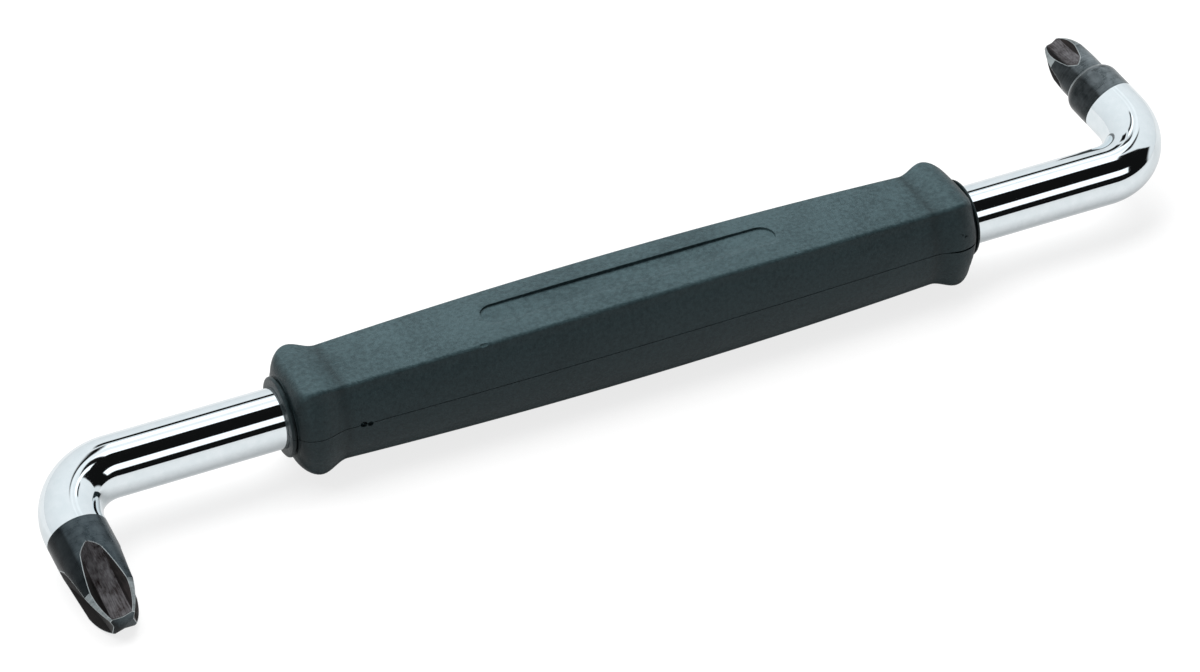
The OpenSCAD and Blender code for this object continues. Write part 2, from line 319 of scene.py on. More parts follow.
def add_collars_and_bore(body):
    collar = along_x("collar", COLLAR_R, COLLAR_END)
    pick_edges(lambda a, b: abs(a.x - b.x) < HAIR)
    bpy.ops.mesh.bevel(offset=COLLAR_EDGE, segments=4, affect="EDGES")
    close_up()
    combine(body, collar, "UNION")
    for side in (-1, 1):
        groove = along_x("groove", COLLAR_R + CLEAR, GROOVE_W / 2)
        close_up()
        core = along_x("core", GROOVE_R, GROOVE_W)
        close_up()
        combine(groove, core, "DIFFERENCE")
        groove.data.transform(Matrix.Translation((side * (HANDLE_HALF + GROOVE_W / 2), 0, 0)))
        combine(body, groove, "DIFFERENCE")
    bore = along_x("bore", BORE_R, COLLAR_END + 2 * CLEAR)
    close_up()
    combine(body, bore, "DIFFERENCE")
    size = (WING_L + 2 * WING_ROOM, WING_SPAN + 2 * WING_ROOM, WING_T + 2 * WING_ROOM)
    combine(body, rounded_block("wing_room", size, (0, 0, 0), ROOM_EDGE), "DIFFERENCE")


# %% [markdown]
# No edge of a moulded part is quite sharp, so a bevel softens every corner of more than 40 degrees. After
# it a large block takes away what lies below the seam, which leaves the edges of the seam crisp. The lower
# half is made upright like the upper one and turned over as its last step.

# %% Soften the edges, cut along the seam, turn over
SOFT_EDGE, CORNER = 0.06 * MM, radians(40)


def soften(body):
    apply_modifier(body, "BEVEL", width=SOFT_EDGE, segments=2, limit_method="ANGLE", angle_limit=CORNER)


def cut_seam(body):
    below = 10 * MM
    deselect()
    bpy.ops.mesh.primitive_cube_add(size=1, location=(0, 0, SEAM_Z - below / 2))
    bpy.context.object.scale = (3 * HANDLE_HALF, 4 * GRIP_HALF_W, below)
    block = added("below_seam")
    close_up()
    combine(body, block, "DIFFERENCE")


def turn_over(body):
    select_only(body)
    bpy.ops.object.mode_set(mode="EDIT")
    bpy.ops.mesh.select_all(action="SELECT")
    bpy.ops.transform.resize(value=(1, 1, -1), center_override=(0, 0, 0))
    close_up()


# %% [markdown]
# ## Small marks of the mould
# A moulded handle isn't perfect: the seam shows two small dark pits where the gate was broken off and
# stands open at the right end, and the long front edge has a few nicks from use. Each mark is cut with a
# ball of few facets, stretched to the size of the mark.

# %% Pits and nicks
# place in mm, half sizes in mm
UPPER_MARKS = [((-28.4, -6.85, 7.95), (1.0, 0.6, 0.5)), ((26.8, -6.7, 8.1), (0.45, 0.55, 0.35)),
               ((-49.7, -5.8, 7.6), (0.3, 0.25, 0.2)), ((56.6, -8.4, 3.2), (0.28, 0.25, 0.22)),
               ((57.2, -8.35, 2.7), (0.3, 0.25, 0.25))]
SEAM_MARKS = [((-49.6, -7.7, 0.05), (0.6, 0.8, 0.55)), ((-48.5, -7.7, -0.15), (0.48, 0.7, 0.45)),
              ((57.4, -8.1, 0.0), (3.6, 0.8, 0.2))]


def press_marks(body, marks, upside):
    for (x, y, z), size in marks:
        deselect()
        bpy.ops.mesh.primitive_ico_sphere_add(subdivisions=2, radius=1,
                                              location=(x * MM, y * MM, upside * z * MM))
        bpy.context.object.scale = [s * MM for s in size]
        added("mark")
        close_up()
        combine(body, bpy.context.object, "DIFFERENCE")


# %% [markdown]
# ## The upper half
# Its top face carries a long slot with round ends, where a maker would put a label. It stays bare here. The
# slot's floor is flat, while the face around it is slightly bowed, so the wall is highest in the middle.

# %% Upper half
RECESS_L, RECESS_W, RECESS_DEPTH, ROUND_STEPS = 52 * MM, 5 * MM, 0.6 * MM, 16
PLASTIC_SMOOTH = radians(32)

upper = handle_body("handle_upper", UPPER_H)
add_collars_and_bore(upper)
deselect()
bpy.ops.mesh.primitive_cube_add(size=1, location=(0, 0, UPPER_H - RECESS_DEPTH + CLEAR))
bpy.context.object.scale = (RECESS_L, RECESS_W, 2 * CLEAR)
recess = added("recess")
pick_edges(lambda a, b: abs(a.x - b.x) < HAIR and abs(a.y - b.y) < HAIR)
bpy.ops.mesh.bevel(offset=RECESS_W / 2 - HAIR, segments=ROUND_STEPS, affect="EDGES")
close_up()
combine(upper, recess, "DIFFERENCE")
soften(upper)
press_marks(upper, UPPER_MARKS + SEAM_MARKS, 1)
cut_seam(upper)
finish_piece(upper, "upper_shell", PLASTIC_SMOOTH)

# %% [markdown]
# ## The lower half
# It is the same body a little less high and without the slot. It gets the marks of the seam too, mirrored,
# because it is still upright when they are cut.

# %% Lower half
lower = handle_body("handle_lower", LOWER_H)
add_collars_and_bore(lower)
soften(lower)
press_marks(lower, SEAM_MARKS, -1)
cut_seam(lower)
turn_over(lower)
finish_piece(lower, "lower_shell", PLASTIC_SMOOTH)

# %% [markdown]
# ## The bar
# The real bar is one round rod, bent cold at two places and plated. A curve with a round bevel would do,
# but a ring that is extruded along the straight stretches and spun round the bends gives exact arcs. The
# whole rod lies in one plane that is turned about the bar's own axis, so it is modelled flat and turned at
# the end.

# %% Rod, bent by two spins
ROD_SIDES, BEND_STEPS = 96, 56


def corner_l(bend):
    """Length of the bar's axis from a bend to the corner where the two straight axes would meet."""
    return BEND_R * tan(bend / 2)


def bend_end(side, reach, bend, plated):
    """Spins the ring at one end of the rod round its bend and draws out the start of the arm."""
    start = side * (reach - corner_l(bend))
    pick(lambda c: abs(c.x - start) < HAIR)
    bpy.ops.mesh.spin(steps=BEND_STEPS, angle=-bend, center=(start, side * BEND_R, 0), axis=(0, 0, 1))
    along = Vector((side * cos(bend), side * sin(bend), 0)) * plated
    bpy.ops.mesh.extrude_region_move(TRANSFORM_OT_translate={"value": along})
    bpy.ops.mesh.edge_face_add()


deselect()
left = -(PH4_ARM[1] - corner_l(PH4_ARM[2]))
right = PH3_ARM[1] - corner_l(PH3_ARM[2])
bpy.ops.mesh.primitive_circle_add(vertices=ROD_SIDES, radius=BAR_R, location=(left, 0, 0),
                                  rotation=(0, pi / 2, 0))
bar = added("chrome_bar")
bpy.ops.mesh.select_all(action="SELECT")
bpy.ops.mesh.extrude_region_move(TRANSFORM_OT_translate={"value": (right - left, 0, 0)})
bend_end(*PH3_ARM)
bend_end(*PH4_ARM)
bpy.ops.mesh.select_all(action="SELECT")
bpy.ops.transform.rotate(value=-TURN, orient_axis="X", center_override=(0, 0, 0))
close_up()
corners = [[limit(v.co[axis] for v in bar.data.vertices) for axis in range(3)] for limit in (min, max)]
print("bar box in mm:", [[round(c / MM, 2) for c in corner] for corner in corners])
combine(bar, rounded_block("wings", (WING_L, WING_SPAN, WING_T), (0, 0, 0), WING_EDGE), "UNION")
finish_piece(bar, "shank", radians(40))

# %% [markdown]
# ## The cross points
# Each arm is turned down and its point is ground with four hollow flutes, a quarter turn apart. The blade
# could be a cylinder and a cone, but the cone is slightly bowed and the smaller point has a shoulder. So a
# disc is extruded ring by ring through a profile, like a part on a lathe.

# %% Blade
CONE_ANGLE, CONE_BOW, CONE_STEPS = radians(26.5), 0.4 * MM, 8


def cone_side(r, z, end_r):
    """Radius and height along the bowed side of a cone, from where it starts down to the end radius."""
    drop = r - end_r
    length = drop / tan(CONE_ANGLE)
    steps = [k / CONE_STEPS for k in range(CONE_STEPS + 1)]
    return [(r - drop * t + CONE_BOW * 4 * t * (1 - t) * cos(CONE_ANGLE),
             z + length * t + CONE_BOW * 4 * t * (1 - t) * sin(CONE_ANGLE)) for t in steps]


def turned(name, profile):
    """Extrudes a disc upwards through (radius, height) places, as on a lathe."""
    deselect()
    (r, z), rest = profile[0], profile[1:]
    bpy.ops.mesh.primitive_circle_add(vertices=ROD_SIDES, radius=r, fill_type="NGON", location=(0, 0, z))
    piece = added(name)
    bpy.ops.mesh.select_all(action="SELECT")
    for next_r, next_z in rest:
        bpy.ops.mesh.extrude_region_move(TRANSFORM_OT_translate={"value": (0, 0, next_z - z)})
        bpy.ops.transform.resize(value=(next_r / r, next_r / r, 1), center_override=(0, 0, next_z))
        r, z = next_r, next_z
    close_up()
    return piece


# %% [markdown]
# A flute has a shallow V for a floor and walls that lean out, and it runs out in a curve, because a
# grinding wheel made it. So the wheel is copied: the flute's section is drawn as a small plate and spun
# round the wheel's axis, which gives the room that the wheel takes.

# %% Wheel
RUN_IN, RUN_OUT, WHEEL_STEPS = 1.5 * MM, 2.5 * MM, 40


def wheel_cut(floor_steel, wall_steel, end_z, r, root, floor_w, lean, floor_angle, flute_l):
    """The room that the grinding wheel takes for one flute on the +Y side of a point.

    At the end of the point the lowest line of the flute is `root` away from the axis and rises by `lean`. It
    comes out of the blade of radius r after flute_l, and that gives the radius of the wheel.
    """
    rise = r - root
    wheel = (rise ** 2 + flute_l ** 2) / (2 * (rise * cos(lean) - flute_l * sin(lean)))
    half_w, depth = floor_w / 2, 1.2 * r
    fall = half_w / tan(floor_angle / 2)
    deselect()
    bpy.ops.mesh.primitive_plane_add(size=2 * half_w, location=(0, fall + half_w, 0))
    tool = added("wheel_cut")
    tool.data.materials.append(floor_steel)
    tool.data.materials.append(wall_steel)
    pick(lambda c: c.y > half_w)
    bpy.ops.transform.translate(value=(0, depth - 2 * half_w, 0))
    bpy.ops.transform.resize(value=((half_w + depth) / half_w, 1, 1), center_override=(0, 0, 0))
    pick(lambda c: c.y < half_w)
    bpy.ops.mesh.subdivide(number_cuts=1)
    pick(lambda c: abs(c.x) < HAIR and c.y < half_w)
    bpy.ops.transform.translate(value=(0, -fall, 0))
    bpy.ops.mesh.select_all(action="SELECT")
    bpy.ops.transform.rotate(value=-lean, orient_axis="X", center_override=(0, 0, 0))
    bpy.ops.transform.translate(value=(0, root, end_z))
    centre = (0, root + wheel * cos(lean), end_z + wheel * sin(lean))
    heel = asin((flute_l + wheel * sin(lean)) / wheel) - lean
    before, after = RUN_IN / wheel, RUN_OUT / wheel
    bpy.ops.transform.rotate(value=before, orient_axis="X", center_override=centre)
    bpy.ops.mesh.spin(steps=WHEEL_STEPS, angle=-(before + heel + after), center=centre, axis=(1, 0, 0))
    close_up()
    for face in tool.data.polygons:  # the walls look half along X, the V of the floor nearly along Y
        face.material_index = int(0.5 < abs(face.normal.x) < 0.9)
    return tool


# %% [markdown]
# The wheel's room is cut out four times. That leaves sharp edges, which are broken on the real points and
# shine as narrow rims, so every edge that stands out gets a small bevel. Each kind of face has its own steel,
# because turning, grinding and breaking leave different marks, and the walls of the flutes also carry painted
# shade.

# %% Flutes and broken edges
RIM, BROKEN = 0.08 * MM, radians(30)
KINDS = ("turned", "floor", "wall", "edge", "cone")


def grind(blade, cone_z, **flute):
    """Cuts the four flutes and breaks the edges. Each kind of face gets its own steel."""
    tip = blade.name[-3:]
    kinds = {kind: bpy.data.materials.new(f"{kind}_steel_{tip}") for kind in KINDS}
    blade.data.materials.append(kinds["turned"])
    for k in range(4):
        tool = wheel_cut(kinds["floor"], kinds["wall"], **flute)
        tool.data.transform(Matrix.Rotation(k * pi / 2, 4, "Z"))
        combine(blade, tool, "DIFFERENCE")
    slots = blade.data.materials
    slots.append(kinds["edge"])
    slots.append(kinds["cone"])
    select_only(blade)
    bpy.ops.object.mode_set(mode="EDIT")
    bpy.ops.mesh.select_all(action="DESELECT")
    bpy.ops.mesh.select_mode(type="EDGE")
    mesh = bmesh.from_edit_mesh(blade.data)
    for e in mesh.edges:  # every sharp edge that stands out, but not the one where the arm goes on
        e.select = e.is_convex and e.calc_face_angle() > BROKEN and e.verts[0].co.z > HAIR
    bmesh.update_edit_mesh(blade.data)
    bpy.ops.mesh.bevel(offset=RIM, segments=2, affect="EDGES", material=slots.find(kinds["edge"].name))
    bpy.ops.object.mode_set(mode="OBJECT")
    for face in blade.data.polygons:  # the flat end looks up and stays turned
        if slots[face.material_index] == kinds["turned"] and face.center.z > cone_z and face.normal.z < 0.9:
            face.material_index = slots.find(kinds["cone"].name)
    used = [slots[face.material_index] for face in blade.data.polygons]
    print(blade.name, {kind: used.count(material) for kind, material in kinds.items()})


# %% [markdown]
# A point is made upright at the origin and then set on its arm. Its place follows from the bend: along the
# bar to the corner where the two axes would meet, turned by the bend, on along the arm, and up to where the
# plating ends.

# %% Where a point goes on its arm
def arm_place(side, reach, bend, plated):
    """The place of a point's local frame: Z along the arm, X square to the plane of the arms."""
    half_turn = 0 if side > 0 else pi
    return (Matrix.Rotation(TURN, 4, "X") @ Matrix.Rotation(half_turn, 4, "Z")
            @ Matrix.Translation((reach, 0, 0)) @ Matrix.Rotation(bend, 4, "Z")
            @ Matrix.Translation((corner_l(bend), 0, 0)) @ Matrix.Rotation(pi / 2, 4, "Y")
            @ Matrix.Translation((0, 0, plated)))


def set_on_arm(point, arm, twist):
    select_only(point)
    point.matrix_world = arm_place(*arm) @ Matrix.Rotation(twist, 4, "Z")
    bpy.ops.object.transform_apply(location=True, rotation=True, scale=True)


# %% [markdown]
# ### The larger point
# It is ground on the bar's full thickness, only a hair thinner where the plating is off. So the blade is
# one straight cylinder with a cone, and the flutes reach back nearly to the plating.

# %% The larger point
ARM_R, STEEL_SMOOTH = 4.99 * MM, radians(24)
PH4_L, PH4_END_R, PH4_TURN = 17.5 * MM, 2.6 * MM, radians(7)
ph4_cone = PH4_L - (ARM_R - PH4_END_R) / tan(CONE_ANGLE)
ph4 = turned("point_ph4", [(ARM_R, 0), (ARM_R, ph4_cone / 2)] + cone_side(ARM_R, ph4_cone, PH4_END_R))
grind(ph4, ph4_cone, end_z=PH4_L, r=ARM_R, root=1.65 * MM, floor_w=3.4 * MM, lean=radians(3),
      floor_angle=radians(153), flute_l=12.9 * MM)
set_on_arm(ph4, PH4_ARM, PH4_TURN)
finish_piece(ph4, "ph4_tip", STEEL_SMOOTH)

# %% [markdown]
# ### The smaller point
# It needs a thinner blade, so the bar is turned down: first the full thickness, then a rounded shoulder and
# a short chamfer that shines like the broken edges, and then the blade.

# %% The smaller point
PH3_COLLAR_L, PH3_SHOULDER_L, PH3_SHOULDER_IN, PH3_CHAMFER_L = 4.1 * MM, 1.6 * MM, 0.6 * MM, 0.5 * MM
PH3_BLADE_R, PH3_BLADE_L, PH3_END_R, PH3_TURN = 4 * MM, 9.5 * MM, 1.9 * MM, radians(22)
SHOULDER_STEPS = 8
ring_z = PH3_COLLAR_L + PH3_SHOULDER_L
blade_z = ring_z + PH3_CHAMFER_L
ph3_end = blade_z + PH3_BLADE_L
round_r = (PH3_SHOULDER_L ** 2 + PH3_SHOULDER_IN ** 2) / (2 * PH3_SHOULDER_IN)
shoulder = [asin(PH3_SHOULDER_L / round_r) * k / SHOULDER_STEPS for k in range(1, SHOULDER_STEPS)]
ph3_profile = [(ARM_R, 0), (ARM_R, PH3_COLLAR_L)]
ph3_profile += [(ARM_R - round_r * (1 - cos(a)), PH3_COLLAR_L + round_r * sin(a)) for a in shoulder]
ph3_profile += [(ARM_R - PH3_SHOULDER_IN, ring_z), (PH3_BLADE_R, blade_z)]
ph3_cone = ph3_end - (PH3_BLADE_R - PH3_END_R) / tan(CONE_ANGLE)
ph3_profile += cone_side(PH3_BLADE_R, ph3_cone, PH3_END_R)
ph3 = turned("point_ph3", ph3_profile)
grind(ph3, ph3_cone, end_z=ph3_end, r=PH3_BLADE_R, root=1.3 * MM, floor_w=2.7 * MM, lean=radians(3),
      floor_angle=radians(146), flute_l=7.9 * MM)
for face in ph3.data.polygons:
    if ring_z < face.center.z < blade_z:
        face.material_index = ph3.data.materials.find("edge_steel_ph3")
set_on_arm(ph3, PH3_ARM, -PH3_TURN)
finish_piece(ph3, "ph3_tip", STEEL_SMOOTH)

# %% [markdown]
# ## Materials
# The three finishes are built from noise on the pieces' own coordinates, so they stay with the object in
# every view. One helper adds a node and plugs in what it is given, others do arithmetic, spread a value
# over a range or turn it into colours, and each material starts from one shader.

# %% Node helpers
def new_material(name):
    material = bpy.data.materials.get(name) or bpy.data.materials.new(name)
    material.use_nodes = True
    tree = material.node_tree
    shader = tree.nodes["Principled BSDF"]
    coords = tree.nodes.new("ShaderNodeTexCoord").outputs["Object"]
    return material, tree, shader, coords


def node(tree, kind, settings=None, **inputs):
    """Adds a node. Inputs are values or outputs of other nodes, by the socket's name or number."""
    made = tree.nodes.new("ShaderNode" + kind)
    for key, value in (settings or {}).items():
        setattr(made, key, value)
    for key, value in inputs.items():
        socket = made.inputs[int(key[1:]) if key[0] == "i" and key[1:].isdigit() else key.replace("_", " ")]
        if isinstance(value, bpy.types.NodeSocket):
            tree.links.new(value, socket)
        else:
            socket.default_value = value
    return made


def calc(tree, operation, *values):
    """One step of arithmetic. MULTIPLY_ADD is the first value times the second plus the third."""
    inputs = {f"i{k}": value for k, value in enumerate(values)}
    return node(tree, "Math", {"operation": operation}, **inputs).outputs[0]


def spread(tree, value, start, end, to=(0.0, 1.0), curve="LINEAR"):
    """Takes a value that runs from start to end to the range `to`, and holds it there beyond them."""
    return node(tree, "MapRange", {"interpolation_type": curve}, Value=value, From_Min=start, From_Max=end,
                To_Min=to[0], To_Max=to[1]).outputs["Result"]


def ramp(tree, fac, stops):
    """A colour ramp. Each stop is a place and a colour, or one number for a grey."""
    made = node(tree, "ValToRGB", Fac=fac)
    ends = made.color_ramp.elements
    while len(ends) < len(stops):
        ends.new(0.5)
    for end, (place, colour) in zip(ends, stops):
        end.position = place
        end.color = (*colour, 1) if hasattr(colour, "__len__") else (colour, colour, colour, 1)
    return made.outputs["Color"]


def bump(tree, shader, heights):
    """Chains bumps of (height output, strength, distance in mm) into the shader's normal."""
    normal = None
    for height, strength, distance in heights:
        made = node(tree, "Bump", Height=height, Strength=strength, Distance=distance * MM)
        if normal:
            tree.links.new(normal, made.inputs["Normal"])
        normal = made.outputs["Normal"]
    tree.links.new(normal, shader.inputs["Normal"])


# %% [markdown]
# ### Handle plastic
# The handle is a hard black-grey plastic from a spark-eroded mould: a fine, even grain that makes it satin.
# A very fine bump does the grain, a slower one the slight unevenness of a moulded face, and the colour is
# nearly even. Painted shade darkens the colour in the concave waists and on the noses and collars at the
# ends: the distance from the middle of the handle goes through a ramp that does it.

# %% Handle plastic
plastic, tree, shader, coords = new_material("grained_plastic")
grain = node(tree, "TexNoise", Vector=coords, Scale=3800, Detail=3, Roughness=0.6).outputs["Fac"]
speckle = node(tree, "TexVoronoi", {"feature": "SMOOTH_F1"}, Vector=coords, Scale=2600).outputs["Distance"]
slow = node(tree, "TexNoise", Vector=coords, Scale=90, Detail=4).outputs["Fac"]
mottle = node(tree, "TexNoise", Vector=coords, Scale=1500, Detail=2).outputs["Fac"]
uneven = calc(tree, "MULTIPLY_ADD", mottle, 0.6, calc(tree, "MULTIPLY", slow, 0.4))
colour = ramp(tree, uneven, [(0.38, (0.023, 0.041, 0.046)), (0.62, (0.043, 0.073, 0.081))])
from_middle = calc(tree, "ABSOLUTE", node(tree, "SeparateXYZ", Vector=coords).outputs["X"])
along = spread(tree, from_middle, WAIST_X - 2 * MM, HANDLE_HALF)
# painted shade: the ramp darkens the concave waists and the noses and collars at the ends
painted_shade = ramp(tree, along, [(0.06, 1.0), (0.2, 0.55), (0.34, 0.88), (0.5, 1.0), (0.82, 0.9), (0.94, 0.3)])
colour = node(tree, "VectorMath", {"operation": "MULTIPLY"}, i0=colour, i1=painted_shade).outputs["Vector"]
tree.links.new(colour, shader.inputs["Base Color"])
rough = ramp(tree, grain, [(0.3, 0.35), (0.75, 0.48)])
tree.links.new(rough, shader.inputs["Roughness"])
shader.inputs["Specular IOR Level"].default_value = 0.34
shader.inputs["Specular Tint"].default_value = (0.8, 0.96, 1, 1)
bump(tree, shader, [(slow, 0.25, 0.05), (speckle, 0.5, 0.06), (grain, 0.9, 0.07)])
for piece in (upper, lower):
    piece.data.materials.clear()
    piece.data.materials.append(plastic)
print("plastic:", len(tree.nodes), "nodes")

# %% [markdown]
# ### Chrome
# Bright chrome shows almost nothing of itself, only what stands around it. So the colour is nearly white
# with a hint of blue, the gloss is high, and two weak bumps give it the slight waves of a bent and polished
# rod.

# %% Chrome
chrome, tree, shader, coords = new_material("chrome_plating")
waves = node(tree, "TexNoise", Vector=coords, Scale=160, Detail=2).outputs["Fac"]
smear = node(tree, "TexNoise", Vector=coords, Scale=700, Detail=5).outputs["Fac"]
colour = ramp(tree, smear, [(0.35, (0.82, 0.89, 0.92)), (0.7, (0.87, 0.93, 0.96))])
tree.links.new(colour, shader.inputs["Base Color"])
shader.inputs["Metallic"].default_value = 1
tree.links.new(ramp(tree, smear, [(0.4, 0.03), (0.75, 0.07)]), shader.inputs["Roughness"])
bump(tree, shader, [(waves, 0.08, 0.1), (smear, 0.06, 0.02)])
bar.data.materials.clear()
bar.data.materials.append(chrome)
print("chrome:", len(tree.nodes), "nodes")

# %% [markdown]
# ### Bare steel
# The points are hardened and left bare, and each has five kinds of faces. Outside they are nearly black, with
# fine lines round the arm from the lathe that make rings on the end. The cone was turned last and is lighter.
# In the flutes the ground floor has a brown tint and lines along the arm, and the walls get the darkest
# colour as painted shade deep in the flutes. The broken edges and the narrow ring below the shoulder shine.
# The patterns follow the arm, so a Mapping node first turns them into the arm's own direction.

# %% Patterns along and round an arm
def arm_coords(tree, coords, arm):
    """Coordinates in the arm's own frame, and the pair of distance from its axis and height along it."""
    back = arm_place(*arm).inverted()
    local = node(tree, "Mapping", Vector=coords, Location=back.to_translation(),
                 Rotation=back.to_euler()).outputs[0]
    split = node(tree, "SeparateXYZ", Vector=local)
    across = node(tree, "CombineXYZ", X=split.outputs["X"], Y=split.outputs["Y"]).outputs[0]
    reach = node(tree, "VectorMath", {"operation": "LENGTH"}, i0=across).outputs["Value"]
    return local, node(tree, "CombineXYZ", X=reach, Z=split.outputs["Z"]).outputs[0]


def lines(tree, vector, scale):
    stretched = node(tree, "Mapping", Vector=vector, Scale=scale).outputs[0]
    return node(tree, "TexNoise", Vector=stretched, Scale=1.0, Detail=3).outputs["Fac"]


# %% [markdown]
# In the photo the side of each point that looks left and down is dark, up to a line along the arm. A dark
# wall in the room could draw that line, but the room already has to give the chrome its stripes. So that
# shade is painted into the steel's colour there.

# %% Five kinds of steel
# the direction of the side where shade is painted into the steel's colour
PAINTED_SHADE_SIDE = Vector((-0.9, 0, -0.43))
LINES_ALONG, LINES_ROUND = (4200, 4200, 150), (4200, 1, 5200)


def steel(kind, tip, arm, dark, light, rough, metallic, shaded=1.0):
    """One finish of a point: dark and light colour, least and most roughness, how metallic it is, and what is
    left of its colour where shade is painted on the side that looks left and down."""
    material, tree, shader, coords = new_material(f"{kind}_steel_{tip}")
    local, rings = arm_coords(tree, coords, arm)
    ground = kind in ("floor", "wall")
    fine = lines(tree, local, LINES_ALONG) if ground else lines(tree, rings, LINES_ROUND)
    blotch = node(tree, "TexNoise", Vector=local, Scale=420, Detail=5, Roughness=0.62).outputs["Fac"]
    share = 0.45 if ground else 0.3
    both = calc(tree, "MULTIPLY_ADD", fine, share, calc(tree, "MULTIPLY", blotch, 1 - share))
    colour = ramp(tree, both, [(0.38, dark), (0.64, light)])
    side = arm_place(*arm).to_3x3().transposed() @ PAINTED_SHADE_SIDE
    turned_away = node(tree, "VectorMath", {"operation": "DOT_PRODUCT"},
                       i0=local, i1=(side.x, side.y, 0)).outputs["Value"]
    # painted shade: the colour falls off towards the side of the point that looks left and down, up to a line
    # along the arm
    across = spread(tree, turned_away, -ARM_R, ARM_R)
    near_line = (1 + shaded) / 2 if kind == "turned" else 1.0
    left = ramp(tree, across, [(0.25, 1.0), (0.57, near_line), (0.62, shaded), (1.0, 1.2 * shaded)])
    colour = node(tree, "VectorMath", {"operation": "SCALE"}, i0=colour, Scale=left).outputs["Vector"]
    tree.links.new(colour, shader.inputs["Base Color"])
    tree.links.new(ramp(tree, blotch, [(0.3, rough[0]), (0.7, rough[1])]), shader.inputs["Roughness"])
    shader.inputs["Metallic"].default_value = metallic
    bump(tree, shader, [(fine, 0.2, 0.02), (blotch, 0.4, 0.04)])
    return len(tree.nodes)


TURNED = {"ph4": ((0.03, 0.043, 0.051), (0.115, 0.145, 0.16)),
          "ph3": ((0.06, 0.076, 0.083), (0.26, 0.3, 0.32))}
for tip, arm in (("ph4", PH4_ARM), ("ph3", PH3_ARM)):
    steel("turned", tip, arm, *TURNED[tip], (0.22, 0.36), 0.92, 0.2)
    steel("cone", tip, arm, (0.18, 0.21, 0.22), (0.48, 0.53, 0.54), (0.24, 0.38), 0.92, 0.8)
    steel("floor", tip, arm, (0.03, 0.023, 0.023), (0.2, 0.195, 0.205), (0.24, 0.38), 0.85, 0.1)
    # painted shade: the flute walls get the darkest colour, for the shade deep in the flutes
    steel("wall", tip, arm, (0.006, 0.005, 0.005), (0.035, 0.028, 0.028), (0.3, 0.42), 0.7, 0.3)
    count = steel("edge", tip, arm, (0.34, 0.38, 0.39), (0.62, 0.66, 0.67), (0.28, 0.4), 1.0)
print("steel:", count, "nodes in each of ten materials")

# %% [markdown]
# ## Floor and light
# The object stands on a level white floor. It is made grey and gets light of its own towards the camera and
# in mirrors, so that it looks white with a faint shadow but doesn't throw much light back at the tool.

# %% Floor
FLOOR_SIZE, FLOOR_GAP, FLOOR_GREY, FLOOR_LIFT = 6, 0.05 * MM, 0.22, 0.8
low = min(v.co.z for piece in (bar, ph4, ph3, lower) for v in piece.data.vertices)
deselect()
bpy.ops.mesh.primitive_plane_add(size=FLOOR_SIZE, location=(0, 0, low - FLOOR_GAP))
floor = bpy.context.object
floor.name = "floor"
floor_material, tree, shader, coords = new_material("white_floor")
shader.inputs["Base Color"].default_value = (FLOOR_GREY, FLOOR_GREY, FLOOR_GREY, 1)
shader.inputs["Roughness"].default_value = 0.9
shader.inputs["Specular IOR Level"].default_value = 0
rays = node(tree, "LightPath")
# painted shadow: in mirrors the floor's own light is weaker right below the tool than farther out
off_axis = calc(tree, "ABSOLUTE", node(tree, "SeparateXYZ", Vector=coords).outputs["Y"])
below = spread(tree, off_axis, 4 * MM, 20 * MM, (0.42, 0.52))
mirrored = calc(tree, "MULTIPLY", rays.outputs["Is Glossy Ray"], below)
strength = calc(tree, "MULTIPLY_ADD", rays.outputs["Is Camera Ray"], FLOOR_LIFT, mirrored)
lift = node(tree, "Emission", Color=(1, 1, 1, 1), Strength=strength)
both = node(tree, "AddShader", i0=shader.outputs[0], i1=lift.outputs[0])
tree.links.new(both.outputs[0], tree.nodes["Material Output"].inputs["Surface"])
floor.data.materials.append(floor_material)
print("floor at z in mm:", round(floor.location.z / MM, 2))

# %% [markdown]
# Chrome needs something to reflect: in the studio that was a dark room in front and above with two white
# panels in it, and light walls everywhere else. Here the world gives that room to mirror-like rays only, by
# direction, while soft plain light falls on everything. Towards the camera the world is plain white, at
# strength 1.

# %% Directions and cards of the studio
world = bpy.data.worlds.new("studio")
bpy.context.scene.world = world
world.use_nodes = True
tree = world.node_tree
direction = node(tree, "TexCoord").outputs["Generated"]
split = node(tree, "SeparateXYZ", Vector=direction)
front = calc(tree, "MULTIPLY", split.outputs["Y"], -1.0)
# angle about X in degrees: 0 is level in front, 90 straight up, 180 level behind
about = calc(tree, "DEGREES", calc(tree, "ARCTAN2", split.outputs["Z"], front))
aside = split.outputs["X"]


def step(value, at, soft, falling=False):
    """A soft step from 0 to 1 where the value passes `at`, or from 1 to 0."""
    return spread(tree, value, at - soft, at + soft, (1.0, 0.0) if falling else (0.0, 1.0), "SMOOTHSTEP")


def times(*values):
    out = values[0]
    for value in values[1:]:
        out = calc(tree, "MULTIPLY", out, value)
    return out


def card(low_angle, high_angle, left_end, right_end, soft=1.0, soft_end=0.02):
    """1 inside a card that spans two angles about X and two ends along X."""
    return times(step(about, low_angle, soft), step(about, high_angle, soft, True),
                 step(aside, left_end, soft_end), step(aside, right_end, soft_end, True))


def shade(base, mask, value):
    """Gives the room a new brightness where the mask is 1."""
    return node(tree, "Mix", {"data_type": "FLOAT"}, i0=mask, i2=base, i3=value).outputs[0]


# %% [markdown]
# The bar mirrors the room in stripes along its length, so each stripe in the photo is a card between two
# angles about X, and where it starts or stops along the bar tells the ends of the card. Overhead each end
# of the bar has a white panel of its own, with a black rim behind it and at its left end, and a black line
# farther back. The arms mirror the panels too, but show no stripe there, so that part of a panel is hardly
# brighter than the room.

# %% The room that the chrome mirrors
BLACK, DARK, PANEL, BRIGHT, LOWER_CARD = 0.006, 0.1, 1.02, 1.4, 1.3
# left and right end of a panel, angle where its rim starts, and the angles that the arms mirror
PANELS = ((0.197, 0.275, 110, (100, 111)), (0.385, 0.48, 116, (107, 116)))
PANEL_START, PANEL_END, PANEL_SOFT = 85, 125, 0.012

room = spread(tree, split.outputs["Z"], 0.0, 1.0, (0.8, 0.95))
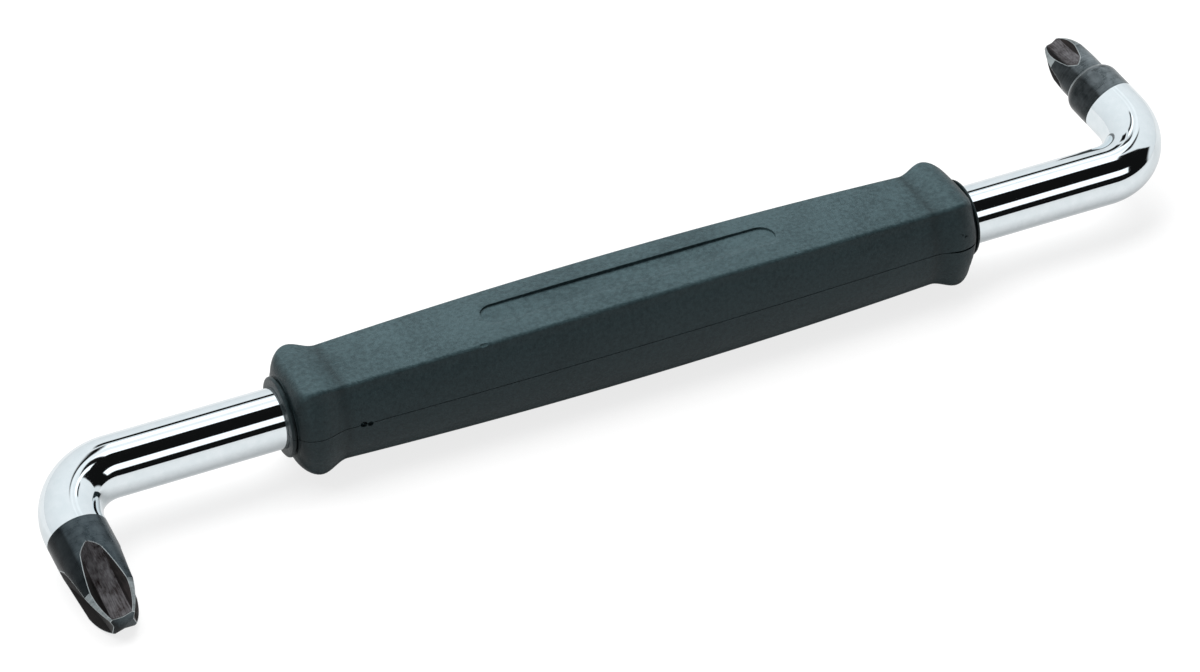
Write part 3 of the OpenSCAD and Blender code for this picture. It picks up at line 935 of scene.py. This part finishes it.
# black cloth hangs in front, from level to straight up, and overhead over the right part alone; the higher it
# hangs, the less far it reaches to the right
cloth_end = spread(tree, about, 68.0, 108.0, (0.95, 0.25))
before_end = step(calc(tree, "SUBTRACT", aside, cloth_end), 0, 0.02, True)
room = shade(room, times(card(-2, 85, -0.5, 2), before_end), BLACK)
room = shade(room, times(card(80, 100, 0.15, 2), before_end), BLACK)
# a black card beside the right panel
room = shade(room, card(98, 107, 0.45, 0.54), BLACK)
# low behind at the right the room is dark, which only the handle's left bulge mirrors
room = shade(room, card(143, 178, 0.48, 0.68, 5, 0.06), DARK)
# the panels: rim, line farther back, then the panel itself and the bright parts of it
for left_end, right_end, rim, arms in PANELS:
    room = shade(room, card(rim, PANEL_END + 1, left_end - 0.07, right_end, 1, 0.03), BLACK)
    room = shade(room, card(130, 140, left_end - 0.06, right_end), BLACK)
    room = shade(room, card(PANEL_START, PANEL_END, left_end, right_end, 1, PANEL_SOFT), PANEL)
    for start, end in ((PANEL_START, arms[0]), (arms[1], PANEL_END)):
        room = shade(room, card(start, end, left_end, right_end, 1, PANEL_SOFT), BRIGHT)
# a white card low in front makes the stripe on the lower side of the bar
room = shade(room, card(21, 41, -0.42, 0.64, 1.2), LOWER_CARD)
print("room:", len(tree.nodes), "nodes")

# %% [markdown]
# Everything that isn't mirror-like gets its light from a soft sky, brightest above and a little behind,
# which leaves the sides of the handle dark. Three kinds of rays then see three different worlds.

# %% Soft light and what each kind of ray sees
rays = node(tree, "LightPath")
above = node(tree, "VectorMath", {"operation": "DOT_PRODUCT"},
             i0=direction, i1=(0, 0.5, 0.87)).outputs["Value"]
soft = spread(tree, above, 0.35, 1.0, (0.01, 0.7))
soft_light = node(tree, "Background", Color=(0.97, 0.985, 1, 1), Strength=soft)
mirror_room = node(tree, "Background", Color=(0.96, 0.985, 1, 1), Strength=room)
white = node(tree, "Background", Color=(1, 1, 1, 1), Strength=1.0)
glossy = node(tree, "MixShader", i0=rays.outputs["Is Glossy Ray"], i1=soft_light.outputs[0],
              i2=mirror_room.outputs[0])
seen = node(tree, "MixShader", i0=rays.outputs["Is Camera Ray"], i1=glossy.outputs[0], i2=white.outputs[0])
tree.links.new(seen.outputs[0], tree.nodes["World Output"].inputs["Surface"])
print("world:", len(tree.nodes), "nodes")

# %% [markdown]
# One large lamp hangs above and behind. It lights the top of the handle and draws the faint shadow on the
# floor. Mirrors don't see it, because the room already holds all that the chrome shows.

# %% Lamp
LAMP_PLACE, LAMP_SIZE, LAMP_WATTS = Vector((-0.1, 0.35, 0.85)), (1.2, 0.8), 17.5
lamp = bpy.data.objects.new("overhead", bpy.data.lights.new("overhead", "AREA"))
bpy.context.scene.collection.objects.link(lamp)
lamp.data.shape, lamp.data.energy = "RECTANGLE", LAMP_WATTS
lamp.data.size, lamp.data.size_y = LAMP_SIZE
lamp.location = LAMP_PLACE
lamp.rotation_euler = LAMP_PLACE.to_track_quat("Z", "Y").to_euler()
lamp.visible_glossy = False
print("lamp in m from the middle:", round(LAMP_PLACE.length, 2))

# %% [markdown]
# ## Last steps
# The picture is shown as it is, with the Standard view.

# %% Standard view
bpy.context.scene.view_settings.view_transform = "Standard"
